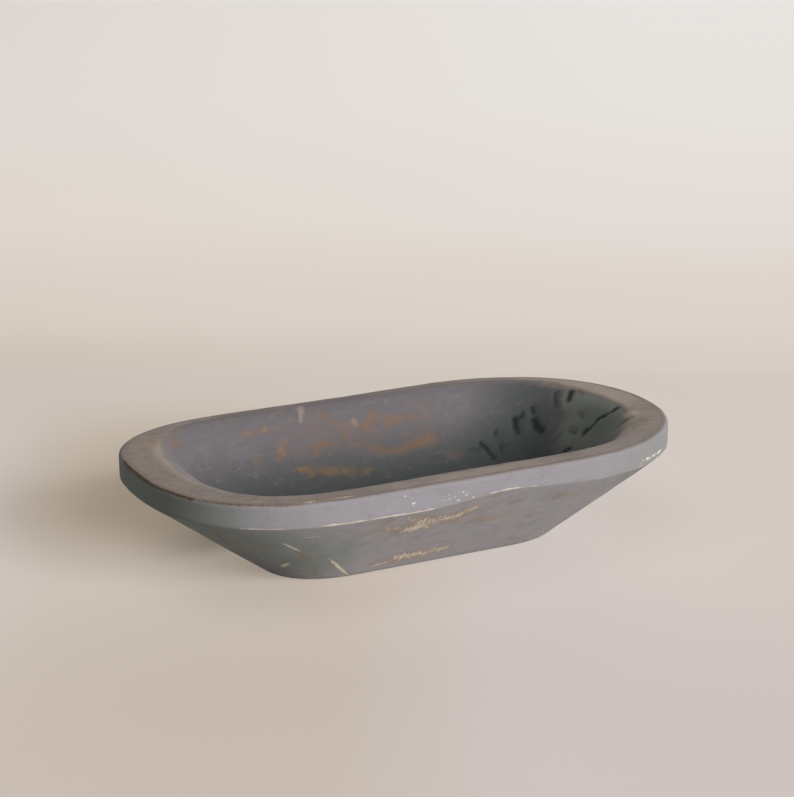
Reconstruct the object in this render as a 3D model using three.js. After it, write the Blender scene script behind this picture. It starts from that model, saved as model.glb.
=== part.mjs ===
// Carved wooden dough bowl, cut from one block of wood.
// A flat rim runs all the way round. Below its outer edge is a narrow upright band, and below the band
// the outside slopes in to a smaller flat base. The hollow sweeps down from a soft lip to a flat floor.
// Millimetres, +Z up. The origin is the middle of the underside, and X runs along the bowl.

import * as THREE from 'three';

// Overall size
const bowlLength = 254;
const bowlWidth = 136;
const bowlHeight = 50.5;

// Plan: straight along the middle of each long side, then a rounded end.
// Fullness is the power of the rounded end's curve: 2 is an ellipse, and more is squarer.
const sideStraight = 96;
const endFullness = 2.4;

// Rim, and the upright band under its outer edge
const rimWidthAtEnds = 17.5;
const rimWidthAtSides = 11.8;
const rimEdgeRound = 1.6;
const lipRound = 3;
const bandHeight = 10.3;

// Flat base
const baseLength = 142;
const baseWidth = 56;
const baseStraight = 74;
const baseEdgeBreak = 1.2;

// Hollow: the wall runs straight down from the lip, then sweeps in to the flat floor
const floorThickness = 11;
const wallAtFloor = 10;
const sweepHeight = 24;
const sweepReach = 16;

// Fineness of the facets
const pointsAround = 96;
const roundSteps = 3;
const sweepSteps = 6;

// Paint on the wood
const paintColour = '#7d7879';
const paintRoughness = 0.85;

// A shape is the outline of one level slice through the bowl.
function shapeOf(length, width, straight) {
  return { halfLength: length / 2, halfWidth: width / 2, halfStraight: straight / 2 };
}

function inset(shape, atEnds, atSides) {
  return {
    halfLength: shape.halfLength - atEnds,
    halfWidth: shape.halfWidth - atSides,
    halfStraight: shape.halfStraight,
  };
}

function between(first, second, share) {
  return {
    halfLength: THREE.MathUtils.lerp(first.halfLength, second.halfLength, share),
    halfWidth: THREE.MathUtils.lerp(first.halfWidth, second.halfWidth, share),
    halfStraight: THREE.MathUtils.lerp(first.halfStraight, second.halfStraight, share),
  };
}

function ringPoints(shape, height) {
  const power = 2 / endFullness;
  const endRun = shape.halfLength - shape.halfStraight;
  const midSide = pointsAround / 4;
  const points = [];
  for (let index = 0; index < pointsAround; index += 1) {
    const angle = (index / pointsAround) * 2 * Math.PI;
    const along = index % (2 * midSide) === midSide ? 0 : Math.cos(angle);
    const across = Math.sin(angle);
    const x = Math.sign(along) * (shape.halfStraight + endRun * Math.abs(along) ** power);
    const y = Math.sign(across) * shape.halfWidth * Math.abs(across) ** power;
    points.push(new THREE.Vector3(x, y, height));
  }
  return points;
}

// The slices in order: up the outside, over the rim, and down the inside.
function bowlSlices() {
  const rim = shapeOf(bowlLength, bowlWidth, sideStraight);
  const base = shapeOf(baseLength, baseWidth, baseStraight);
  const lip = inset(rim, rimWidthAtEnds, rimWidthAtSides);
  const arrisHeight = bowlHeight - bandHeight;
  const outsideAt = (height) => between(base, rim, height / arrisHeight);
  const slices = [];
  const add = (shape, height) => slices.push({ shape, height });

  // Base and the sloping outside
  add(inset(base, baseEdgeBreak, baseEdgeBreak), 0);
  add(outsideAt(baseEdgeBreak), baseEdgeBreak);
  add(rim, arrisHeight);

  // Band and the rounded outer edge of the rim
  for (let step = 0; step <= roundSteps; step += 1) {
    const turn = (step / roundSteps) * (Math.PI / 2);
    const tuck = rimEdgeRound * (1 - Math.cos(turn));
    add(inset(rim, tuck, tuck), bowlHeight - rimEdgeRound * (1 - Math.sin(turn)));
  }

  // Soft lip at the inner edge of the rim
  const lipFoot = bowlHeight - lipRound;
  for (let step = 0; step <= roundSteps; step += 1) {
    const turn = (step / roundSteps) * (Math.PI / 2);
    const spread = lipRound * (1 - Math.sin(turn));
    add(inset(lip, -spread, -spread), lipFoot + lipRound * Math.cos(turn));
  }

  // Inner wall, and the sweep from the wall to the floor
  const wallFoot = inset(outsideAt(floorThickness), wallAtFloor, wallAtFloor);
  const floorEdge = inset(wallFoot, sweepReach, sweepReach);
  const wallHeight = lipFoot - floorThickness;
  const sweepRise = Math.min(sweepHeight, wallHeight - lipRound);
  const sweepStart = between(wallFoot, lip, sweepRise / wallHeight);
  for (let step = 0; step <= sweepSteps; step += 1) {
    const share = step / sweepSteps;
    const onWall = between(sweepStart, wallFoot, share);
    const onFloor = between(wallFoot, floorEdge, share);
    add(between(onWall, onFloor, share), floorThickness + sweepRise * (1 - share) ** 2);
  }
  return slices;
}

// Joins the slices into one closed skin, with the base and the floor filled in from their middles.
function bowlGeometry() {
  const slices = bowlSlices();
  const points = slices.flatMap(({ shape, height }) => ringPoints(shape, height));
  const baseMiddle = points.length;
  const floorMiddle = baseMiddle + 1;
  points.push(new THREE.Vector3(0, 0, 0));
  points.push(new THREE.Vector3(0, 0, floorThickness));

  const lastRing = (slices.length - 1) * pointsAround;
  const faces = [];
  for (let index = 0; index < pointsAround; index += 1) {
    const next = (index + 1) % pointsAround;
    for (let ring = 0; ring < lastRing; ring += pointsAround) {
      const above = ring + pointsAround;
      faces.push(ring + index, ring + next, above + next);
      faces.push(ring + index, above + next, above + index);
    }
    faces.push(baseMiddle, next, index);
    faces.push(floorMiddle, lastRing + index, lastRing + next);
  }

  const geometry = new THREE.BufferGeometry().setFromPoints(points);
  geometry.setIndex(faces);
  geometry.computeVertexNormals();
  return geometry;
}

function carvedBowl() {
  const paintedWood = new THREE.MeshStandardMaterial({
    color: paintColour,
    roughness: paintRoughness,
    metalness: 0,
  });
  const mesh = new THREE.Mesh(bowlGeometry(), paintedWood);
  mesh.name = 'carved_bowl';
  return mesh;
}

const bowl = new THREE.Group();
bowl.add(carvedBowl());

export default bowl;
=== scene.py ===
# Carved wooden dough bowl in worn chalk paint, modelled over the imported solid. Metres, Z up.
import math

import bmesh
import bpy
import numpy as np
from mathutils import Matrix, Vector, noise
from mathutils.bvhtree import BVHTree


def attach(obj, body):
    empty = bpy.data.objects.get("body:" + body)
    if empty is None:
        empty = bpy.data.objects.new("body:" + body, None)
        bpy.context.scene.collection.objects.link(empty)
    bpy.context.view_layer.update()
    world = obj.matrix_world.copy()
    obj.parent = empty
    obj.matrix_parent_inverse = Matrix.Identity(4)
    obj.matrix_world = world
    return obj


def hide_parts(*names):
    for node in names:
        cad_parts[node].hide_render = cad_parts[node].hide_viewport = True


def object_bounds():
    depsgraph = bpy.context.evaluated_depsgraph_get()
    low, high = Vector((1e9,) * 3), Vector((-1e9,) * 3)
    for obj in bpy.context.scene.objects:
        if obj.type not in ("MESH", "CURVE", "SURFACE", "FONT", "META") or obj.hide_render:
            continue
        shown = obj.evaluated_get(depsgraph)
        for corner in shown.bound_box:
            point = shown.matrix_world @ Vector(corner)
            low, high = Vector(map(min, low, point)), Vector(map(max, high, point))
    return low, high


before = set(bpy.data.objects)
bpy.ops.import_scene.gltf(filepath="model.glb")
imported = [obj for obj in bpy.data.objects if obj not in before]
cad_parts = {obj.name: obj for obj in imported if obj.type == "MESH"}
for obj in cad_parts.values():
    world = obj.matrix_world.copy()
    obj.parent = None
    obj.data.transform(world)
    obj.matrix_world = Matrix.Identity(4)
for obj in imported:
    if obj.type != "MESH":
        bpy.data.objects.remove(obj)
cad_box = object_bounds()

MM = 0.001
noise.seed_set(5)

# Picture frame and viewpoint
IMAGE_WIDTH = 794
IMAGE_HEIGHT = 797
FOCAL_PIXELS = 2250.0
SENSOR_MM = 36.0
VIEW_PITCH = 0.2896
VIEW_YAW = 0.4862
BASE_MIDDLE_PIXEL = (405.15, 540.6)
BASE_MIDDLE_DEPTH = 1020.3 * MM
NEAREST_SEEN = 0.01

# Sizes of the bowl that its box does not give, in millimetres
SIDE_STRAIGHT = 96.0
RIM_WIDTH_AT_ENDS = 21.2
RIM_WIDTH_AT_SIDES = 11.8
RIM_EDGE_ROUND = 1.6
BAND_HEIGHT = 10.3
BASE_LENGTH = 142.0
BASE_WIDTH = 56.0
BASE_STRAIGHT = 74.0
BASE_EDGE_ROUND = 1.2
FLOOR_THICKNESS = 11.0
WALL_AT_FLOOR = 10.0
SWEEP_HEIGHT = 24.0
SWEEP_REACH = 16.0

# The lip rolls from the rim into the wall: how far it starts before the corner, and how far down it ends
LIP_START_AT_ENDS = 7.0
LIP_START_AT_SIDES = 3.2
LIP_DEPTH = 8.0

# The carver's corners are not quite alike: fullness of each rounded quarter, from +X+Y round by -X+Y
RIM_FULLNESS = (2.15, 2.91, 2.38, 2.16)
LIP_FULLNESS = (2.3, 2.8, 2.7, 2.25)
BASE_FULLNESS = (2.4, 2.4, 2.4, 2.4)
BASE_SHIFT = (-0.7, -0.2)
LIP_SHIFT = (0.7, 2.6)

# The arris is sanded up at one place of the near side, steeply on its left and slowly on its right
SANDED_PIXEL = (507, 489)
SANDED_LIFT = 2.8
SANDED_REACH_LEFT = 19.0
SANDED_REACH_RIGHT = 30.0

# Away from there the arris waves a little: size and height of the waves
WAVE_SIZE = 21.0
WAVE_LIFT = 0.35
WAVE_PLANE = 4.0

# Eased corners: how far the arris is worn in, and where the middle of the base's edge lies
ARRIS_EASE = 0.12
BASE_EDGE_OUT = 0.55
BASE_EDGE_UP = 0.3

# The carver's wander, broad and in the facets of the gouge: sizes and reaches. It is full from a small
# height on, so that the underside stays flat.
BROAD_SIZE = 34.0
BROAD_REACH = 0.25
FACET_SIZE = 11.0
FACET_REACH = 0.12
FACET_OFFSET = Vector((7.0, 3.0, 5.0))
WANDER_HEIGHT = 4.0

# Depth of the dents under the dark gouges
GOUGE_DEPTH = 0.5

# How far the inside's paint laps up over the far rim, over what distance it ends at the lip, and how many
# such distances before the lip's line the paint, and the painted light and painted shadow in the hollow,
# start
FAR_LAP = 4.0
LIP_FADE = 4.0
HOLLOW_START = 1.5
LIGHT_AND_SHADOW_START = 1.2

# How far inside the corner of the rim its rubbed paint ends, and the darker line along it, a painted shade
# that dims the light caught by the rounded outer edge
EDGE_INSET = 0.8
EDGE_LINE_MIDDLE = 1.6
EDGE_LINE_HALF = 1.8

# Rust-brown and golden stains are strong in the middle and end sharply
STAIN_GAIN = 1.8
STAIN_LOSS = 0.8

# Noise that makes the edges of marks ragged
COARSE_SIZE = 5.0
COARSE_REACH = 1.8
FINE_SIZE = 2.1
FINE_REACH = 0.9
FINE_OFFSET = Vector((9.0, 2.0, 6.0))

# Strokes thin out towards their ends by a power, and end at a distance from their line. Where there is none
# the width lies far below nothing.
STROKE_TAPER = 3
STROKE_REACH = 2.5
NO_STROKE = -20.0
SHORTEST_RUN = 1e-12

# A place is hidden when something lies this far in front of it, in metres
HIDDEN_MARGIN = 2 * MM

# Fineness of the mesh: points round a slice, and steps from slice to slice
QUARTER_POINTS = 84
STRAIGHT_POINTS = 74
UNDERSIDE_STEPS = 11
SLOPE_STEPS = 42
BAND_STEPS = 9
EDGE_STEPS = 5
RIM_STEPS = 8
LIP_STEPS = 10
WALL_STEPS = 6
SWEEP_STEPS = 30
FLOOR_STEPS = 20

# Size of the small filled middles of the underside and the floor, as a share of the whole
MIDDLE_SHARE = 0.02

# Soft marks seen in the photograph: from pixel, to pixel, radius in millimetres, strength
RUBBED_PATCHES = [
    ((406, 530), (426, 525), 4.2, 1.7),
    ((418, 523), (455, 517), 4.4, 1.5),
    ((460, 515), (477, 507), 3.8, 1.35),
    ((410, 518), (430, 517), 2.8, 1.1),
    ((388, 528), (404, 531), 2.8, 1.1),
    ((396, 558), (426, 552), 4.4, 1.5),
    ((428, 552), (445, 548), 3.4, 1.45),
    ((371, 566), (386, 562), 1.7, 1.7),
    ((386, 562), (402, 558), 2.8, 1.2),
    ((376, 522), (392, 522), 2.0, 1.1),
    ((347, 574), (362, 571), 1.4, 1.1),
    ((558, 496), (584, 490), 2.0, 1.0),
]
STAINED_PATCHES = [
    ((484, 520), (526, 511), 5.0, 0.9),
    ((452, 521), (480, 516), 5.0, 0.7),
    ((372, 528), (396, 536), 7.0, 0.5),
    ((222, 533), (256, 550), 7.0, 1.0),
    ((300, 545), (330, 560), 7.0, 0.35),
]
SPECKED_PATCHES = [
    ((386, 511), (420, 503), 4.0, 0.55),
    ((402, 498), (450, 497), 4.0, 0.5),
    ((440, 500), (482, 493), 4.5, 0.65),
    ((389, 511), (391, 510), 1.3, 1.0),
    ((413, 505), (418, 504), 1.3, 1.1),
    ((404, 496), (406, 496), 1.1, 0.9),
    ((445, 500), (447, 499), 1.3, 1.0),
    ((455, 495), (457, 494), 1.2, 0.9),
    ((472, 498), (475, 497), 1.2, 0.9),
]
BARE_ARRIS = [
    ((207, 526), (238, 529), 2.4, 0.35),
    ((243, 529), (284, 530), 2.4, 1.1),
    ((312, 527), (330, 525), 1.8, 0.85),
    ((326, 525), (430, 510), 3.0, 1.15),
    ((494, 492), (517, 488), 2.4, 1.2),
    ((520, 487), (550, 483), 2.0, 0.85),
    ((636, 463), (660, 455), 2.6, 1.0),
    ((622, 466), (628, 465), 1.4, 0.8),
]
BROWN_RIM_EDGE = [
    ((123, 466), (150, 484), 3.0, 1.4),
    ((150, 484), (190, 500), 3.0, 1.4),
    ((196, 502), (240, 507), 2.5, 0.95),
    ((240, 507), (300, 507), 2.5, 0.8),
]
RUST_PATCHES = [
    ((285, 436), (425, 424), 16.0, 0.6),
    ((247, 435), (264, 430), 3.2, 1.2),
    ((283, 442), (283, 453), 3.9, 1.4),
    ((278, 461), (281, 458), 3.2, 1.2),
    ((258, 462), (262, 461), 3.2, 1.0),
    ((297, 437), (300, 434), 3.6, 1.0),
    ((313, 429), (318, 427), 3.6, 1.05),
    ((316, 451), (322, 447), 3.6, 1.25),
    ((325, 443), (337, 445), 3.9, 1.15),
    ((325, 416), (345, 434), 3.4, 1.25),
    ((354, 422), (356, 423), 3.0, 1.4),
    ((367, 424), (375, 415), 3.4, 1.45),
    ((386, 421), (412, 417), 3.6, 1.15),
    ((418, 405), (424, 400), 4.9, 0.7),
    ((372, 446), (382, 451), 3.6, 1.15),
    ((384, 451), (402, 449), 3.2, 1.05),
    ((350, 445), (366, 443), 3.9, 0.8),
    ((404, 448), (417, 444), 3.6, 1.35),
    ((420, 442), (430, 439), 4.2, 1.5),
    ((432, 439), (435, 436), 3.6, 1.15),
    ((448, 456), (461, 452), 2.2, 0.8),
    ((572, 392), (577, 391), 2.6, 1.1),
    ((175, 446), (178, 442), 3.0, 1.3),
    ((614, 436), (626, 427), 2.2, 0.9),
    ((620, 425), (632, 417), 1.8, 1.4),
    ((632, 429), (640, 424), 1.5, 1.2),
    ((641, 421), (645, 416), 2.6, 0.9),
]
GOLD_PATCHES = [
    ((303, 472), (322, 471), 3.2, 1.55),
    ((326, 471), (344, 470), 3.2, 1.4),
    ((346, 471), (369, 471), 3.2, 1.3),
    ((346, 481), (356, 480), 2.6, 0.9),
]
CREAM_PATCHES = [
    ((303, 407), (300, 421), 1.5, 1.3),
    ((354, 422), (356, 423), 1.8, 0.9),
    ((262, 431), (264, 430), 1.8, 0.7),
    ((246, 435), (249, 434), 1.8, 0.6),
    ((282, 451), (284, 453), 1.8, 0.6),
    ((281, 442), (284, 441), 1.8, 0.6),
    ((480, 416), (507, 409), 1.0, 0.6),
]
DARK_GOUGES = [
    ((577, 390), (582, 394), 1.8, 0.55),
    ((515, 418), (516, 431), 2.2, 1.2),
    ((521, 417), (522, 414), 2.0, 1.0),
    ((532, 407), (532, 412), 1.9, 1.05),
    ((535, 420), (536, 427), 2.6, 1.2),
    ((537, 427), (541, 430), 2.8, 1.2),
    ((571, 391), (569, 399), 2.1, 1.2),
    ((555, 393), (556, 405), 1.8, 0.85),
    ((481, 443), (487, 449), 2.1, 1.1),
    ((487, 449), (494, 457), 2.0, 1.0),
    ((496, 432), (497, 436), 1.9, 1.0),
    ((501, 445), (502, 451), 1.8, 0.8),
    ((472, 450), (478, 450), 2.2, 0.75),
    ((580, 414), (582, 418), 1.8, 0.7),
    ((570, 430), (575, 431), 2.0, 0.75),
    ((583, 434), (587, 430), 1.8, 1.1),
    ((587, 430), (598, 419), 1.3, 1.0),
    ((598, 419), (606, 414), 1.5, 1.1),
    ((606, 414), (612, 411), 1.2, 1.0),
    ((614, 410), (617, 407), 1.9, 1.15),
    ((560, 434), (553, 441), 1.5, 0.6),
    ((564, 451), (570, 448), 1.8, 1.05),
]
PALE_RIM = [
    ((560, 383), (604, 391), 22.0, 1.05),
    ((612, 395), (655, 425), 20.0, 0.1),
    ((480, 473), (640, 445), 14.0, 0.3),
    ((405, 486), (550, 461), 9.0, 0.45),
]
FAR_RIM = [
    ((188, 423), (330, 401), 12.0, 1.0),
    ((330, 401), (545, 381), 12.0, 1.0),
]
WORN_LIP = [
    ((631, 413), (622, 435), 4.5, 1.3),
    ((608, 394), (632, 406), 3.5, 0.5),
    ((545, 384), (608, 394), 4.0, 0.5),
]
PALE_LIP = [
    ((154, 440), (157, 455), 2.8, 1.3),
    ((157, 455), (172, 471), 2.2, 1.6),
    ((172, 471), (190, 481), 1.6, 1.1),
    ((190, 481), (228, 492), 1.3, 1.1),
    ((228, 492), (262, 496), 1.2, 0.9),
    ((178, 425), (187, 423), 1.8, 1.6),
]
# Painted light: a paler, greener tone on the hollow's right end, which faces away from the lamps
PAINTED_LIGHT_PATCHES = [
    ((582, 427), (622, 420), 16.0, 1.0),
    ((578, 400), (612, 406), 9.0, 0.9),
]
# Painted shadow: a darker band down the hollow's right part, where the right end's shadow falls, and a
# darker spot near its rim
PAINTED_SHADOW_PATCHES = [
    ((526, 402), (502, 452), 21.0, 1.0),
    ((536, 402), (528, 428), 14.0, 0.8),
    ((554, 404), (556, 414), 7.0, 0.5),
    ((547, 414), (553, 421), 7.0, 1.1),
]
GOLD_RIM = [
    ((292, 503), (322, 500), 2.2, 1.0),
    ((322, 500), (362, 494), 2.2, 0.9),
    ((366, 493), (470, 478), 2.0, 0.45),
    ((162, 472), (168, 475), 3.2, 0.95),
    ((132, 472), (144, 479), 3.0, 0.55),
    ((153, 440), (155, 445), 2.2, 1.7),
    ((634, 428), (646, 414), 3.0, 0.5),
]
# Painted shade: a darker teal-grey on the left end, which faces away from the lamps, on the slope below it,
# and on the right end of the band
PAINTED_SHADE_PATCHES = [
    ((130, 486), (212, 518), 15.0, 1.1),
    ((262, 545), (318, 561), 17.0, 0.95),
    ((640, 457), (661, 447), 24.0, 0.5),
]

# Strokes of a scraper's corner: from pixel, to pixel, half width in millimetres
PALE_STROKES = [
    ((282, 543), (302, 552), 0.7),
    ((330, 559), (348, 575), 0.8),
    ((281, 567), (289, 563), 1.1),
    ((304, 538), (315, 537), 0.35),
    ((645, 460), (651, 457), 0.6),
    ((651, 457), (657, 453), 0.45),
    ((656, 454), (661, 450), 0.6),
    ((303, 503), (318, 501), 0.55),
    ((332, 499), (354, 496), 0.5),
]
BROWN_STROKES = [
    ((294, 550), (312, 561), 1.3),
    ((312, 561), (316, 576), 1.0),
    ((376, 524), (396, 520), 0.8),
]


def outline_shape(length, width, straight, fullness, shift=(0.0, 0.0)):
    """One level slice of the bowl: half sizes, the fullness of its four quarters, and its shift."""
    return np.array([length / 2, width / 2, straight / 2, *fullness, *shift])


def inset(shape, at_ends, at_sides):
    smaller = shape.copy()
    smaller[0] -= at_ends
    smaller[1] -= at_sides
    return smaller


def between(first, second, share):
    return first + (second - first) * share


def stations_around():
    """(quarter, angle, share of the straight) for each point round a slice, from the +X tip."""
    stations = []
    for quarter in range(4):
        for step in range(QUARTER_POINTS):
            stations.append((quarter, (quarter + step / QUARTER_POINTS) * math.pi / 2, 0.0))
        if quarter in (0, 2):
            for step in range(STRAIGHT_POINTS):
                stations.append((quarter, (quarter + 1) * math.pi / 2, step / STRAIGHT_POINTS))
    return stations


def place_on(shape, height, station):
    """Where a station of a slice lies, in millimetres."""
    half_length, half_width, half_straight = shape[:3]
    quarter, angle, share = station
    power = 2 / shape[3 + quarter]
    side = 1 if quarter in (0, 3) else -1
    upper = 1 if quarter in (0, 1) else -1
    along = abs(math.cos(angle)) ** power if share == 0.0 else 0.0
    across = abs(math.sin(angle)) ** power
    x = side * (half_straight * (1 - 2 * share) + (half_length - half_straight) * along)
    y = upper * half_width * across
    return Vector((x + shape[7], y + shape[8], height))


def bowl_slices():
    """The slices in order: out across the underside, up the outside, over the rim, down the inside.
    Each is a shape, its level, and how far it follows the lift of the arris."""
    low, high = Vector(cad_box[0]) / MM, Vector(cad_box[1]) / MM
    length, width, height = high - low
    rim = outline_shape(length, width, SIDE_STRAIGHT, RIM_FULLNESS)
    base = outline_shape(BASE_LENGTH, BASE_WIDTH, BASE_STRAIGHT, BASE_FULLNESS, BASE_SHIFT)
    lip = inset(outline_shape(length, width, SIDE_STRAIGHT, LIP_FULLNESS, LIP_SHIFT),
                RIM_WIDTH_AT_ENDS, RIM_WIDTH_AT_SIDES)
    arris_height = height - BAND_HEIGHT
    slices = []
    edges = {}

    def add(shape, level, lift=0.0):
        slices.append((shape, level, lift))
        return len(slices) - 1

    def outside_at(level):
        return between(base, rim, level / arris_height)

    # Underside, out to its eased edge
    middle = base.copy()
    middle[:3] *= MIDDLE_SHARE
    underside = inset(base, BASE_EDGE_ROUND, BASE_EDGE_ROUND)
    for step in range(UNDERSIDE_STEPS + 1):
        add(between(middle, underside, step / UNDERSIDE_STEPS), 0.0)
    base_edge = between(underside, outside_at(BASE_EDGE_ROUND), BASE_EDGE_OUT)
    add(base_edge, BASE_EDGE_ROUND * BASE_EDGE_UP)

    # Sloping outside up to the arris, then the band
    for step in range(SLOPE_STEPS):
        share = step / SLOPE_STEPS
        level = between(BASE_EDGE_ROUND, arris_height, share)
        add(outside_at(level), level, share ** 2)
    edges["arris"] = add(inset(rim, ARRIS_EASE, ARRIS_EASE), arris_height, 1.0)
    band_top = height - RIM_EDGE_ROUND
    for step in range(1, BAND_STEPS + 1):
        share = step / BAND_STEPS
        add(rim, between(arris_height, band_top, share), 1 - share)

    # Rounded outer edge and flat rim
    for step in range(1, EDGE_STEPS + 1):
        turn = step / EDGE_STEPS * math.pi / 2
        tuck = RIM_EDGE_ROUND * (1 - math.cos(turn))
        number = add(inset(rim, tuck, tuck), height - RIM_EDGE_ROUND * (1 - math.sin(turn)))
        if step == EDGE_STEPS // 2:
            edges["rim"] = number
    rim_flat = inset(rim, RIM_EDGE_ROUND, RIM_EDGE_ROUND)
    lip_start = inset(lip, -LIP_START_AT_ENDS, -LIP_START_AT_SIDES)
    for step in range(1, RIM_STEPS + 1):
        add(between(rim_flat, lip_start, step / RIM_STEPS), height)

    # Lip rolled over into the wall
    wall_foot = inset(outside_at(FLOOR_THICKNESS), WALL_AT_FLOOR, WALL_AT_FLOOR)
    wall_foot[3:] = lip[3:]
    wall_height = height - FLOOR_THICKNESS
    lip_end = between(lip, wall_foot, LIP_DEPTH / wall_height)
    for step in range(1, LIP_STEPS + 1):
        share = step / LIP_STEPS
        rolled = between(between(lip_start, lip, share), between(lip, lip_end, share), share)
        number = add(rolled, height - LIP_DEPTH * share ** 2)
        if step == LIP_STEPS // 2:
            edges["lip"] = number

    # Inner wall, sweep and floor
    floor_edge = inset(wall_foot, SWEEP_REACH, SWEEP_REACH)
    sweep_start = between(wall_foot, lip, SWEEP_HEIGHT / wall_height)
    straight_run = wall_height - LIP_DEPTH - SWEEP_HEIGHT
    for step in range(1, WALL_STEPS):
        share = step / WALL_STEPS
        add(between(lip_end, sweep_start, share), height - LIP_DEPTH - straight_run * share)
    for step in range(SWEEP_STEPS + 1):
        share = step / SWEEP_STEPS
        on_wall = between(sweep_start, wall_foot, share)
        on_floor = between(wall_foot, floor_edge, share)
        add(between(on_wall, on_floor, share), FLOOR_THICKNESS + SWEEP_HEIGHT * (1 - share) ** 2)
    floor_middle = floor_edge.copy()
    floor_middle[:3] *= MIDDLE_SHARE
    for step in range(1, FLOOR_STEPS + 1):
        add(between(floor_edge, floor_middle, step / FLOOR_STEPS), FLOOR_THICKNESS)
    return slices, edges


def carve_wander(place):
    """How far the carver's hand wandered at a place, in millimetres."""
    broad = noise.noise_vector(place / BROAD_SIZE) * BROAD_REACH
    facet = noise.noise_vector(place / FACET_SIZE + FACET_OFFSET) * FACET_REACH
    return broad + facet


def arris_lift(place):
    """How far the arris was sanded up at a place, in millimetres."""
    wave = noise.noise(Vector((place.x / WAVE_SIZE, place.y / WAVE_SIZE, WAVE_PLANE))) * WAVE_LIFT
    if place.y > 0.0:
        return wave
    eye, ray = eye_place(), pixel_ray(SANDED_PIXEL)
    sanded = eye.x + ray.x * (cad_box[0][1] - eye.y) / ray.y
    off = place.x - sanded / MM
    reach = SANDED_REACH_LEFT if off < 0.0 else SANDED_REACH_RIGHT
    return wave + SANDED_LIFT * math.exp(-(off / reach) ** 2)


def model_bowl():
    """A ring of edges is extruded from slice to slice, and the two small middles are filled."""
    slices, edges = bowl_slices()
    stations = stations_around()
    skin = bmesh.new()
    loop = list(bmesh.ops.create_circle(skin, segments=len(stations), radius=1.0)["verts"])
    rings = []
    for number, (shape, level, lift) in enumerate(slices):
        if number:
            around = [skin.edges.get((vert, loop[index - 1])) for index, vert in enumerate(loop)]
            made = bmesh.ops.extrude_edge_only(skin, edges=around)
            fresh = {vert for vert in made["geom"] if isinstance(vert, bmesh.types.BMVert)}
            loop = [next(edge.other_vert(vert) for edge in vert.link_edges
                         if edge.other_vert(vert) in fresh) for vert in loop]
        for vert, station in zip(loop, stations):
            place = place_on(shape, level, station)
            if level > 0.0:
                place += carve_wander(place) * min(level / WANDER_HEIGHT, 1.0)
            if lift > 0.0:
                place.z += arris_lift(place) * lift
            vert.co = place * MM
        rings.append(loop)
    bmesh.ops.contextual_create(skin, geom=rings[0])
    bmesh.ops.contextual_create(skin, geom=rings[-1])
    bmesh.ops.recalc_face_normals(skin, faces=skin.faces)
    for face in skin.faces:
        face.smooth = True
    skin.verts.index_update()
    skin.normal_update()
    return skin, rings, edges


def view_axes():
    """Directions of the view in the bowl's frame: to the right, up, and away from the eye."""
    away = Vector((math.sin(VIEW_YAW) * math.cos(VIEW_PITCH),
                   math.cos(VIEW_YAW) * math.cos(VIEW_PITCH),
                   -math.sin(VIEW_PITCH)))
    right = Vector((math.cos(VIEW_YAW), -math.sin(VIEW_YAW), 0.0))
    return right, right.cross(away), away


def pixel_ray(pixel):
    right, up, away = view_axes()
    across = (pixel[0] - IMAGE_WIDTH / 2) / FOCAL_PIXELS
    down = (pixel[1] - IMAGE_HEIGHT / 2) / FOCAL_PIXELS
    return away + right * across - up * down


def eye_place():
    return -pixel_ray(BASE_MIDDLE_PIXEL) * BASE_MIDDLE_DEPTH


def mark_places(tree, marks):
    """Each mark with its two ends cast from the eye on to the bowl, the normal there, and its sizes.
    Marks on the sides that the photograph does not show, wear and painted light and shade alike, repeat the
    seen marks, turned half round."""
    half_turn = Matrix.Rotation(math.pi, 4, "Z")
    placed = []
    for start, end, *sizes in marks:
        hits = [tree.ray_cast(eye_place(), pixel_ray(pixel)) for pixel in (start, end)]
        if None in (hits[0][0], hits[1][0]):
            raise ValueError(f"a mark from {start} to {end} misses the bowl")
        placed.append((hits[0][0], hits[1][0], hits[0][1], *sizes))
        turned = [tree.find_nearest(half_turn @ hit[0]) for hit in hits]
        if all(hidden_from_eye(tree, hit[0]) for hit in turned):
            placed.append((turned[0][0], turned[1][0], turned[0][1], *sizes))
    return placed


def hidden_from_eye(tree, place):
    towards = place - eye_place()
    return tree.ray_cast(eye_place(), towards)[3] < towards.length - HIDDEN_MARGIN


def line_distance(points, start, end):
    """Distance from each point to the line between two places, and its share along that line."""
    start, end = np.array(start), np.array(end)
    run = end - start
    share = np.clip((points - start) @ run / max(run @ run, SHORTEST_RUN), 0.0, 1.0)
    return np.linalg.norm(points - start - share[:, None] * run, axis=1), share


def soft_marks(points, placed):
    """A field that is a mark's strength along its line and fades out over its radius."""
    field = np.zeros(len(points))
    for start, end, _, radius, strength in placed:
        away = line_distance(points, start, end)[0] / (radius * MM)
        field = np.maximum(field, strength * np.exp(-away ** 2))
    return field


def ragged_points(points):
    """The points moved about, so that marks measured from them get ragged edges."""
    moved = []
    for point in points:
        place = Vector(point) / MM
        coarse = noise.noise_vector(place / COARSE_SIZE) * COARSE_REACH
        fine = noise.noise_vector(place / FINE_SIZE + FINE_OFFSET) * FINE_REACH
        moved.append((place + coarse + fine) * MM)
    return np.array(moved)


def stroke_fields(points, placed):
    """Of the nearest stroke to each point, in millimetres: how far to its side the point lies, and the
    stroke's half width there, which falls below nothing past its ends and away from it."""
    nearest = np.full(len(points), np.inf)
    aside = np.zeros(len(points))
    half_width = np.full(len(points), NO_STROKE)
    for start, end, normal, radius in placed:
        away, share = line_distance(points, start, end)
        closer = away < nearest
        side = np.array(normal.cross(end - start).normalized())
        nearest[closer] = away[closer]
        aside[closer] = ((points - np.array(start)) @ side)[closer] / MM
        taper = 1 - np.abs(2 * share - 1) ** STROKE_TAPER
        half_width[closer] = (radius * taper - np.maximum(away / MM - STROKE_REACH, 0.0))[closer]
    return aside, half_width


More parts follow.
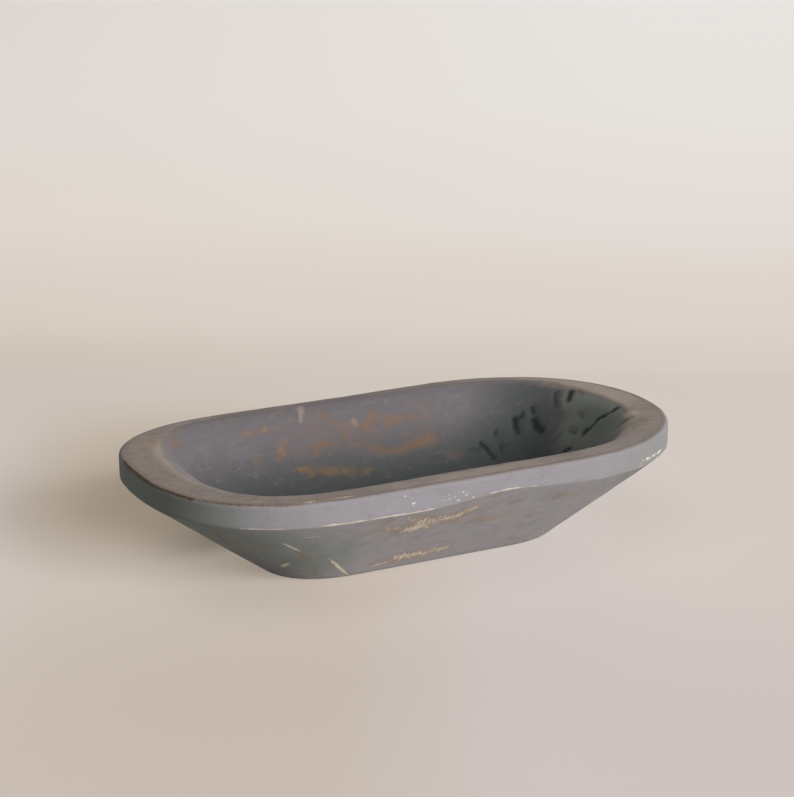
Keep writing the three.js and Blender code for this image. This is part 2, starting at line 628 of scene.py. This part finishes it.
def edge_distances(points, rings, edges):
    """Signed distance along the section from each edge of the bowl, in millimetres."""
    columns = np.array([[vert.index for vert in ring] for ring in rings])
    places = points[columns]
    steps = np.linalg.norm(np.diff(places, axis=0), axis=2) / MM
    along = np.vstack([np.zeros(columns.shape[1]), np.cumsum(steps, axis=0)])
    fields = {}
    for name, ring in edges.items():
        field = np.zeros(len(points))
        field[columns.ravel()] = (along - along[ring]).ravel()
        fields[name] = field
    return fields


def wear_and_painted_light_fields(skin, rings, edges):
    """The values at each point that tell the paint where it is and how it is worn, and where light and
    shade are painted on it.
    """
    tree = BVHTree.FromBMesh(skin)
    points = np.array([vert.co for vert in skin.verts])
    ragged = ragged_points(points)
    half_ragged = (points + ragged) / 2
    along = edge_distances(points, rings, edges)

    def marked(where, marks):
        return soft_marks(where, mark_places(tree, marks))

    from_arris = along["arris"]
    from_edge = along["rim"] - EDGE_INSET
    from_lip = along["lip"] + FAR_LAP * marked(points, FAR_RIM)
    on_slope = from_arris < 0.0
    on_rim = along["rim"] > 0.0
    in_hollow = along["lip"] > 0.0
    below_lip = np.clip(along["lip"] / LIP_FADE + LIGHT_AND_SHADOW_START, 0.0, 1.0)
    fields = {
        "outside": np.clip(-from_edge, 0.0, 1.0),
        "band": np.clip(from_arris, 0.0, 1.0) * np.clip(1.0 - from_edge, 0.0, 1.0),
        # Painted shade along the rim's rounded outer edge
        "rim_edge_shade": np.clip(EDGE_LINE_HALF - np.abs(from_edge - EDGE_LINE_MIDDLE), 0.0, 1.0),
        "rim_top": np.clip(from_edge, 0.0, 1.0),
        "from_lip": from_lip,
        "hollow": np.clip(from_lip / LIP_FADE + HOLLOW_START, 0.0, 1.0),
        "depth": np.where(in_hollow, (points[:, 2].max() - points[:, 2]) / MM, 0.0),
        # Painted light on the hollow's right end
        "painted_light": marked(points, PAINTED_LIGHT_PATCHES) * below_lip,
        # Painted shadow in the hollow below the right end
        "painted_shadow": marked(points, PAINTED_SHADOW_PATCHES) * below_lip,
        "worn_lip": marked(points, WORN_LIP) * on_rim,
        "pale_lip": marked(points, PALE_LIP) * on_rim,
        "pale_rim": marked(points, PALE_RIM) * on_rim,
        # Painted shade on the left end, the slope below it and the band's right end
        "painted_shade": marked(points, PAINTED_SHADE_PATCHES) * (~on_rim),
        "rubbed": marked(ragged, RUBBED_PATCHES),
        "stained": marked(ragged, STAINED_PATCHES) * on_slope,
        "specked": marked(ragged, SPECKED_PATCHES),
        "rust": STAIN_GAIN * marked(ragged, RUST_PATCHES) - STAIN_LOSS,
        "cream": marked(ragged, CREAM_PATCHES),
        "gold": STAIN_GAIN * marked(ragged, GOLD_PATCHES) - STAIN_LOSS,
        "gold_rim": marked(ragged, GOLD_RIM) * on_rim,
        "gouge": marked(half_ragged, DARK_GOUGES),
        "bare_arris": marked(points, BARE_ARRIS) - np.abs(from_arris),
        "brown_edge": marked(points, BROWN_RIM_EDGE) - np.abs(from_edge),
    }
    for name, strokes in (("pale", PALE_STROKES), ("brown", BROWN_STROKES)):
        aside, half_width = stroke_fields(points, mark_places(tree, strokes))
        fields[f"{name}_aside"] = aside
        fields[f"{name}_width"] = half_width
    return fields


def dressed_bowl():
    skin, rings, edges = model_bowl()
    fields = wear_and_painted_light_fields(skin, rings, edges)
    for vert, gouge in zip(skin.verts, fields["gouge"]):
        vert.co -= vert.normal * float(gouge) * GOUGE_DEPTH * MM
    mesh = bpy.data.meshes.new("painted_bowl")
    skin.to_mesh(mesh)
    skin.free()
    for name, field in fields.items():
        layer = mesh.attributes.new(name, "FLOAT", "POINT")
        layer.data.foreach_set("value", field.astype(np.float32))
    mesh.materials.append(chalk_paint_with_painted_light(fields))
    bowl = bpy.data.objects.new("painted_bowl", mesh)
    bpy.context.scene.collection.objects.link(bowl)
    return bowl


def linear(colour):
    """sRGB hex to linear RGBA."""
    parts = [int(colour[place:place + 2], 16) / 255 for place in (1, 3, 5)]
    return tuple(c / 12.92 if c <= 0.04045 else ((c + 0.055) / 1.055) ** 2.4 for c in parts) + (1.0,)


def add_node(tree, kind, inputs=None, output=0, **settings):
    """Adds a node with its settings and links, and returns one of its outputs. An input is a value or
    the output of another node."""
    made = tree.nodes.new(kind)
    for name, value in settings.items():
        setattr(made, name, value)
    for name, value in (inputs or {}).items():
        if isinstance(value, bpy.types.NodeSocket):
            tree.links.new(value, made.inputs[name])
        else:
            made.inputs[name].default_value = value
    return made.outputs[output] if made.outputs else None


# Sockets of a mix node: the share, the two colours and the result
SHARE = 0
FIRST = 6
SECOND = 7
MIXED = 2

# Textures of the paint and wood: sizes in millimetres along the bowl, across it and up, detail, roughness
TEXTURES = {
    "cloud": ((46.0, 30.0, 24.0), 2.0, 0.5),
    "mottle": ((11.0, 8.0, 7.0), 4.0, 0.6),
    "blotch": ((5.0, 4.0, 3.5), 3.0, 0.55),
    "streak": ((42.0, 1.5, 1.5), 3.0, 0.6),
    "speckle": ((1.1, 1.1, 1.1), 3.0, 0.6),
    "dash": ((5.0, 0.9, 0.9), 1.0, 0.5),
    "saw": ((0.9, 5.0, 5.0), 1.0, 0.5),
}

# Steps from one texture's place to the next one's, so that no two are alike
TEXTURE_OFFSET = (3.7, 1.9, 5.3)

# First coat, how much of the grain stands out in its relief, and how strong and deep that is
SLATE_PAINT = "#928b8b"
GRAIN_RELIEF = 0.4
RELIEF_STRENGTH = 0.4
RELIEF_DEPTH = 0.2 * MM

# The paint is dead matt: its roughness over the range of a texture, and its sheen
MOTTLE_RANGE = (0.3, 0.7)
PAINT_ROUGHNESS = (0.7, 0.9)
PAINT_SHEEN = 0.2

# Coats, wear, and painted light and shade, from the first on. Each adds a share of a texture to a field,
# and shows a colour where the sum goes from one value to another, up to an opacity.
COATS = [
    ("outside", "cloud", 3.0, (2.2, 2.8), 0.3, "#978f90"),
    ("outside", "mottle", 3.0, (2.4, 2.9), 0.3, "#837c7d"),
    ("outside", "streak", 3.0, (2.4, 3.0), 0.3, "#807777"),
    ("outside", "blotch", 3.0, (2.5, 3.0), 0.25, "#a29ba1"),
    ("outside", "speckle", 3.0, (2.4, 3.0), 0.35, "#867f81"),
    # Painted shade: the band is a shade darker than the slope below, evening out how strongly the lamps
    # light it
    ("band", "cloud", 0.6, (0.6, 1.2), 0.6, "#7f7b81"),
    # Painted shade: a darker teal-grey on the shaded left end, the slope below it and the band's right end
    ("painted_shade", "cloud", 0.6, (0.4, 1.1), 0.5, "#727970"),
    ("stained", "mottle", 1.4, (0.9, 1.8), 0.5, "#9a8474"),
    ("rim_top", "speckle", 0.6, (0.5, 1.0), 1.0, "#8a7d73"),
    ("rim_top", "mottle", 3.0, (2.3, 2.8), 0.6, "#857c7d"),
    ("rim_top", "blotch", 3.0, (2.4, 3.0), 0.5, "#726353"),
    ("rim_top", "streak", 3.0, (2.2, 3.0), 0.32, "#6f6158"),
    ("pale_rim", "streak", 0.6, (0.3, 1.1), 0.8, "#9a8c82"),
    # Painted shade: a darker line on the rim's rounded outer edge, dimming the light it catches
    ("rim_edge_shade", "blotch", 0.6, (0.5, 1.3), 0.75, "#7a6d66"),
    ("from_lip", "blotch", 2.0, (-5.5, -0.5), 1.0, "#6d6462"),
    ("from_lip", "mottle", 10.0, (2.0, 9.0), 1.0, "#615d60"),
    ("hollow", "mottle", 3.0, (2.4, 2.8), 0.4, "#6c686f"),
    ("hollow", "blotch", 3.0, (2.6, 3.0), 0.25, "#6f645d"),
    # Painted shade: the hollow grows darker towards its bottom, where the near rim keeps the light out
    ("depth", "cloud", 8.0, (11.0, 42.0), 0.85, "#404645"),
    # Painted shadow in the hollow below the right end
    ("painted_shadow", "cloud", 0.5, (0.3, 1.1), 0.65, "#454b4b"),
    # Painted light: paler on the hollow's right end, which faces away from the lamps
    ("painted_light", "mottle", 0.5, (0.3, 1.1), 0.85, "#888d85"),
    ("worn_lip", "streak", 1.2, (0.9, 1.8), 0.75, "#b0a093"),
    ("pale_lip", "blotch", 2.0, (1.1, 2.2), 0.65, "#918379"),
    ("rust", "mottle", 4.0, (1.4, 3.8), 0.75, "#6b5b53"),
    ("rust", "blotch", 4.5, (2.6, 5.2), 0.8, "#715541"),
    ("rust", "speckle", 4.0, (2.8, 4.8), 0.6, "#84664c"),
    ("cream", "blotch", 1.2, (0.7, 1.9), 0.8, "#908073"),
    ("gold", "blotch", 4.0, (2.0, 4.8), 0.9, "#7a6044"),
    ("gold_rim", "streak", 2.4, (1.6, 2.6), 0.75, "#8a6f50"),
    ("rubbed", "mottle", 1.0, (0.5, 1.7), 0.65, "#8f7b6a"),
    ("rubbed", "speckle", 5.0, (3.6, 4.7), 0.75, "#c6b09c"),
    ("rubbed", "dash", 4.0, (3.4, 4.1), 0.7, "#cbb7a4"),
    ("rubbed", "saw", 4.0, (3.3, 4.0), 0.75, "#d0bca9"),
    ("specked", "speckle", 3.0, (2.4, 2.8), 0.85, "#d2cccc"),
    ("brown_edge", "blotch", 1.4, (0.2, 1.2), 0.5, "#7d6246"),
    ("brown_edge", "speckle", 2.2, (1.3, 2.0), 0.85, "#42352a"),
    ("bare_arris", "blotch", 1.8, (1.5, 1.8), 0.9, "#c9b7a7"),
    ("brown", "speckle", 2.0, (0.5, 2.0), 0.55, "#8c7151"),
    ("pale", "speckle", 2.6, (1.1, 1.65), 0.9, "#d3c2a9"),
    ("gouge", "blotch", 0.8, (0.5, 1.5), 0.65, "#384040"),
    ("gouge", "speckle", 0.6, (0.75, 1.5), 0.95, "#1d2220"),
]


def chalk_paint_with_painted_light(field_names):
    """Chalk paint brushed on carved pine and rubbed back: a dead matt slate film, darker in the hollow,
    wood grain showing in streaks, and bare wood along the edges. Painted shade darkens the band, the rim's
    outer edge, the left end, the band's right end and the bottom of the hollow, a painted shadow falls in
    the hollow, and painted light brightens the hollow's right end."""
    material = bpy.data.materials.new("chalk_paint_with_painted_light")
    material.use_nodes = True
    tree = material.node_tree
    tree.nodes.clear()
    place = add_node(tree, "ShaderNodeTexCoord", output="Object")

    textures = {}
    for seed, (name, (sizes, detail, roughness)) in enumerate(TEXTURES.items()):
        scaled = add_node(tree, "ShaderNodeMapping", {
            "Vector": place, "Location": [seed * offset for offset in TEXTURE_OFFSET],
            "Scale": [1 / (size * MM) for size in sizes]})
        textures[name] = add_node(tree, "ShaderNodeTexNoise", {
            "Vector": scaled, "Scale": 1.0, "Detail": detail, "Roughness": roughness})

    fields = {}
    for name in field_names:
        fields[name] = add_node(tree, "ShaderNodeAttribute", output="Fac", attribute_name=name)
    for name in ("pale", "brown"):
        aside = add_node(tree, "ShaderNodeMath", {0: fields[f"{name}_aside"]}, operation="ABSOLUTE")
        fields[name] = add_node(tree, "ShaderNodeMath", {
            0: fields[f"{name}_width"], 1: aside}, operation="SUBTRACT")

    paint = linear(SLATE_PAINT)
    for field, texture, share, (low, high), opacity, colour in COATS:
        rough = add_node(tree, "ShaderNodeMath", {
            0: textures[texture], 1: share, 2: fields[field]}, operation="MULTIPLY_ADD")
        amount = add_node(tree, "ShaderNodeMapRange", {
            "Value": rough, "From Min": low, "From Max": high, "To Max": opacity},
            interpolation_type="SMOOTHSTEP")
        paint = add_node(tree, "ShaderNodeMix", {
            SHARE: amount, FIRST: paint, SECOND: linear(colour)}, output=MIXED, data_type="RGBA")

    relief = add_node(tree, "ShaderNodeMath", {
        0: textures["streak"], 1: GRAIN_RELIEF, 2: textures["speckle"]}, operation="MULTIPLY_ADD")
    dullness = add_node(tree, "ShaderNodeMapRange", {
        "Value": textures["mottle"], "From Min": MOTTLE_RANGE[0], "From Max": MOTTLE_RANGE[1],
        "To Min": PAINT_ROUGHNESS[0], "To Max": PAINT_ROUGHNESS[1]})
    bump = add_node(tree, "ShaderNodeBump", {
        "Height": relief, "Strength": RELIEF_STRENGTH, "Distance": RELIEF_DEPTH})
    shader = add_node(tree, "ShaderNodeBsdfPrincipled", {
        "Base Color": paint, "Roughness": dullness, "Specular IOR Level": PAINT_SHEEN, "Normal": bump})
    add_node(tree, "ShaderNodeOutputMaterial", {"Surface": shader})
    return material


# Tones of the table top: the one nearest the eye, then each later one with the depths behind the bowl's
# middle between which it comes in, where its left and right ends lie, in metres, and its tones there
NEAR_TONE = "#ddd2ce"
# The zones' change of tone from left to right is painted light, for how the light falls over the table
TABLE_ZONES = [
    (-0.6, -0.2, -0.06, 0.2, "#ddd2ce", "#d9cdc8"),
    (-0.2, 0.0, -0.06, 0.2, "#e0d6d2", "#e0d4cc"),
    (0.1, 0.24, -0.2, 0.2, "#d7cdc3", "#dfd3c9"),
    (0.266, 0.29, -0.2, 0.2, "#d9cec3", "#e3d7ce"),
    (0.29, 0.42, -0.3, 0.2, "#e3d8cd", "#e8ded5"),
    (0.4, 0.75, -0.5, 0.2, "#ebe1d7", "#f0e8e2"),
    (0.7, 1.3, -0.5, 0.3, "#eae2dc", "#f3eeea"),
]

# What the table throws back on to the bowl, its roughness and its sheen
BOUNCE_TONE = "#aeb6b2"
TABLE_ROUGHNESS = 0.8
TABLE_SHEEN = 0.2

# Where the table is shaded, from not at all to fully, in metres: from the right, from the far left, from
# the back and from the front, where some shade is left
SHADE_FROM_RIGHT = (0.05, -0.04)
SHADE_FROM_LEFT = (-0.23, -0.14)
SHADE_FROM_BACK = (0.24, 0.12)
SHADE_FROM_FRONT = (-0.05, 0.06)
SHADE_IN_FRONT = 0.5

# Deepest place of the shadow as side, depth and height, its reach and the reach of its core, in metres
SHADOW_MIDDLE = (-0.095, 0.055, 0.0)
SHADOW_REACH = 0.085
SHADOW_CORE = 0.03

# Warmth of the plain colour and of the matt surface in the shade
SHADOW_WARMTH = "#f2e4c0"
SHADOW_TINT = "#fff5e4"

# How much of the table's plain colour the eye sees: in the light, in the shade, and the loss where it is
# deep. The strength of that colour comes last.
PLAIN_IN_LIGHT = 0.6
PLAIN_IN_SHADE = 0.38
PLAIN_LOSS_DEEP = -0.24
PLAIN_STRENGTH = 0.97

# Under the bowl's far overhang the table shows its full shadow: 1 over the overhang's half sizes, the reach
# in those from the outside to the full shadow, the start and end across in metres, and the share kept there
OVERHANG_SCALE = (10.0, 15.0, 0.0)
OVERHANG_REACH = (1.3, 0.7)
OVERHANG_ACROSS = (0.02, 0.045)
PLAIN_UNDER_BOWL = 0.15

# Half size of the table in metres, and its gap below the bowl, which keeps the two faces apart
TABLE_HALF = 6.0
TABLE_DROP = 0.2 * MM


def seen_share(tree):
    """1 for what the eye sees, straight or in a mirror or glass, and 0 for light that falls on things."""
    eye = add_node(tree, "ShaderNodeLightPath", output="Is Camera Ray")
    mirror = add_node(tree, "ShaderNodeLightPath", output="Is Glossy Ray")
    glass = add_node(tree, "ShaderNodeLightPath", output="Is Transmission Ray")
    straight = add_node(tree, "ShaderNodeMath", {0: eye, 1: mirror}, operation="MAXIMUM")
    return add_node(tree, "ShaderNodeMath", {0: straight, 1: glass}, operation="MAXIMUM")


def pale_table():
    """Table top of board, rolled with matt pale paint and smooth, paler towards the back. A share of what
    the eye sees is its plain colour, so that the shadow stays light."""
    material = bpy.data.materials.new("pale_table")
    material.use_nodes = True
    tree = material.node_tree
    tree.nodes.clear()
    soft = {"interpolation_type": "SMOOTHSTEP"}
    mixed = {"output": MIXED, "data_type": "RGBA"}
    place = add_node(tree, "ShaderNodeTexCoord", output="Object")
    turned = add_node(tree, "ShaderNodeMapping", {"Vector": place, "Rotation": (0.0, 0.0, VIEW_YAW)})
    side = add_node(tree, "ShaderNodeSeparateXYZ", {0: turned}, output=0)
    depth = add_node(tree, "ShaderNodeSeparateXYZ", {0: turned}, output=1)

    # Tone of the paint
    tone = linear(NEAR_TONE)
    for start, end, left_end, right_end, left, right in TABLE_ZONES:
        lateral = add_node(tree, "ShaderNodeMapRange", {
            "Value": side, "From Min": left_end, "From Max": right_end})
        zone = add_node(tree, "ShaderNodeMix", {
            SHARE: lateral, FIRST: linear(left), SECOND: linear(right)}, **mixed)
        reached = add_node(tree, "ShaderNodeMapRange", {
            "Value": depth, "From Min": start, "From Max": end}, **soft)
        tone = add_node(tree, "ShaderNodeMix", {SHARE: reached, FIRST: tone, SECOND: zone}, **mixed)
    seen = seen_share(tree)
    lit = add_node(tree, "ShaderNodeMix", {
        SHARE: seen, FIRST: linear(BOUNCE_TONE), SECOND: tone}, **mixed)

    # Where the bowl shades it
    from_left = add_node(tree, "ShaderNodeMapRange", {
        "Value": side, "From Min": SHADE_FROM_LEFT[0], "From Max": SHADE_FROM_LEFT[1]}, **soft)
    from_right = add_node(tree, "ShaderNodeMapRange", {
        "Value": side, "From Min": SHADE_FROM_RIGHT[0], "From Max": SHADE_FROM_RIGHT[1],
        "To Max": from_left}, **soft)
    from_back = add_node(tree, "ShaderNodeMapRange", {
        "Value": depth, "From Min": SHADE_FROM_BACK[0], "From Max": SHADE_FROM_BACK[1],
        "To Max": from_right}, **soft)
    from_front = add_node(tree, "ShaderNodeMapRange", {
        "Value": depth, "From Min": SHADE_FROM_FRONT[0], "From Max": SHADE_FROM_FRONT[1],
        "To Min": SHADE_IN_FRONT}, **soft)
    shade = add_node(tree, "ShaderNodeMath", {0: from_back, 1: from_front}, operation="MULTIPLY")
    away = add_node(tree, "ShaderNodeVectorMath", {
        0: turned, 1: SHADOW_MIDDLE}, output="Value", operation="DISTANCE")
    deep = add_node(tree, "ShaderNodeMapRange", {
        "Value": away, "From Min": SHADOW_REACH, "From Max": SHADOW_CORE}, **soft)

    # The matt surface, and the plain colour
    # Painted shadow: the matt colour is tinted at the shadow's core, and the plain colour is made darker
    # and warmer where the table is shaded
    shaded_matt = add_node(tree, "ShaderNodeMix", {
        SHARE: deep, FIRST: lit, SECOND: linear(SHADOW_TINT)}, blend_type="MULTIPLY", **mixed)
    matt = add_node(tree, "ShaderNodeBsdfPrincipled", {
        "Base Color": shaded_matt, "Roughness": TABLE_ROUGHNESS, "Specular IOR Level": TABLE_SHEEN})
    shaded_plain = add_node(tree, "ShaderNodeMix", {
        SHARE: shade, FIRST: tone, SECOND: linear(SHADOW_WARMTH)}, blend_type="MULTIPLY", **mixed)
    plain = add_node(tree, "ShaderNodeEmission", {"Color": shaded_plain, "Strength": PLAIN_STRENGTH})

    # How much of the plain colour shows
    shallow = add_node(tree, "ShaderNodeMapRange", {
        "Value": shade, "To Min": PLAIN_IN_LIGHT, "To Max": PLAIN_IN_SHADE})
    plainness = add_node(tree, "ShaderNodeMath", {
        0: deep, 1: PLAIN_LOSS_DEEP, 2: shallow}, operation="MULTIPLY_ADD")
    spread = add_node(tree, "ShaderNodeVectorMath", {0: place, 1: OVERHANG_SCALE}, operation="MULTIPLY")
    reach = add_node(tree, "ShaderNodeVectorMath", {0: spread}, output="Value", operation="LENGTH")
    across = add_node(tree, "ShaderNodeSeparateXYZ", {0: place}, output=1)
    far_side = add_node(tree, "ShaderNodeMapRange", {
        "Value": across, "From Min": OVERHANG_ACROSS[0], "From Max": OVERHANG_ACROSS[1],
        "To Min": 1.0, "To Max": PLAIN_UNDER_BOWL}, **soft)
    under = add_node(tree, "ShaderNodeMapRange", {
        "Value": reach, "From Min": OVERHANG_REACH[0], "From Max": OVERHANG_REACH[1],
        "To Min": 1.0, "To Max": far_side}, **soft)
    kept = add_node(tree, "ShaderNodeMath", {0: plainness, 1: under}, operation="MULTIPLY")
    share = add_node(tree, "ShaderNodeMath", {0: seen, 1: kept}, operation="MULTIPLY")
    both = add_node(tree, "ShaderNodeMixShader", {0: share, 1: matt, 2: plain})
    add_node(tree, "ShaderNodeOutputMaterial", {"Surface": both})
    return material


def stand_table():
    top = bmesh.new()
    bmesh.ops.create_grid(top, x_segments=1, y_segments=1, size=TABLE_HALF)
    bmesh.ops.translate(top, vec=(0.0, 0.0, -TABLE_DROP), verts=top.verts)
    mesh = bpy.data.meshes.new("table")
    top.to_mesh(mesh)
    top.free()
    table = bpy.data.objects.new("table", mesh)
    bpy.context.scene.collection.objects.link(table)
    mesh.materials.append(pale_table())


def set_camera():
    right, up, away = view_axes()
    lens = bpy.data.cameras.new("view")
    lens.sensor_fit = "HORIZONTAL"
    lens.sensor_width = SENSOR_MM
    lens.lens = FOCAL_PIXELS / IMAGE_WIDTH * SENSOR_MM
    lens.clip_start = NEAREST_SEEN
    camera = bpy.data.objects.new("view", lens)
    turn = Matrix((right, up, -away)).transposed()
    camera.matrix_world = Matrix.Translation(eye_place()) @ turn.to_4x4()
    bpy.context.scene.collection.objects.link(camera)
    bpy.context.scene.camera = camera


# Lamps: azimuth, elevation and spread in degrees, and level
LAMPS = [
    ("window_light", 51.0, 17.5, 30.0, 1.34),
    ("ceiling_light", -50.0, 72.0, 60.0, 0.2),
    ("back_light", 168.0, 4.0, 50.0, 0.55),
]

# Light of the room that falls on things, and the wall that the eye sees
ROOM_GLOW = "#d4e8e2"
ROOM_GLOW_LEVEL = 0.06
ROOM_WALL = "#e3ddd5"


def soft_lamp(name, azimuth, elevation, spread, level):
    """A wide even lamp. Azimuth is in degrees to the right of the eye. At level 1 a surface square to
    the lamp renders as its colour is written."""
    right, _, away = view_axes()
    front = Vector((-away.x, -away.y, 0.0)).normalized()
    turn, rise = math.radians(azimuth), math.radians(elevation)
    towards = (front * math.cos(turn) + right * math.sin(turn)) * math.cos(rise)
    towards += Vector((0.0, 0.0, math.sin(rise)))
    lamp = bpy.data.lights.new(name, "SUN")
    lamp.angle = math.radians(spread)
    lamp.energy = level * math.pi
    holder = bpy.data.objects.new(name, lamp)
    holder.matrix_world = towards.to_track_quat("Z", "Y").to_matrix().to_4x4()
    bpy.context.scene.collection.objects.link(holder)


def light_room():
    for name, azimuth, elevation, spread, level in LAMPS:
        soft_lamp(name, azimuth, elevation, spread, level)
    world = bpy.data.worlds.new("room")
    world.use_nodes = True
    tree = world.node_tree
    tree.nodes.clear()
    glow = add_node(tree, "ShaderNodeBackground", {
        "Color": linear(ROOM_GLOW), "Strength": ROOM_GLOW_LEVEL})
    wall = add_node(tree, "ShaderNodeBackground", {"Color": linear(ROOM_WALL), "Strength": 1.0})
    room = add_node(tree, "ShaderNodeMixShader", {0: seen_share(tree), 1: glow, 2: wall})
    add_node(tree, "ShaderNodeOutputWorld", {"Surface": room})
    bpy.context.scene.world = world


set_camera()
light_room()
stand_table()
bowl = dressed_bowl()
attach(bowl, "root")
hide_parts("carved_bowl")
bpy.context.scene.view_settings.view_transform = "Standard"

bpy.context.view_layer.update()
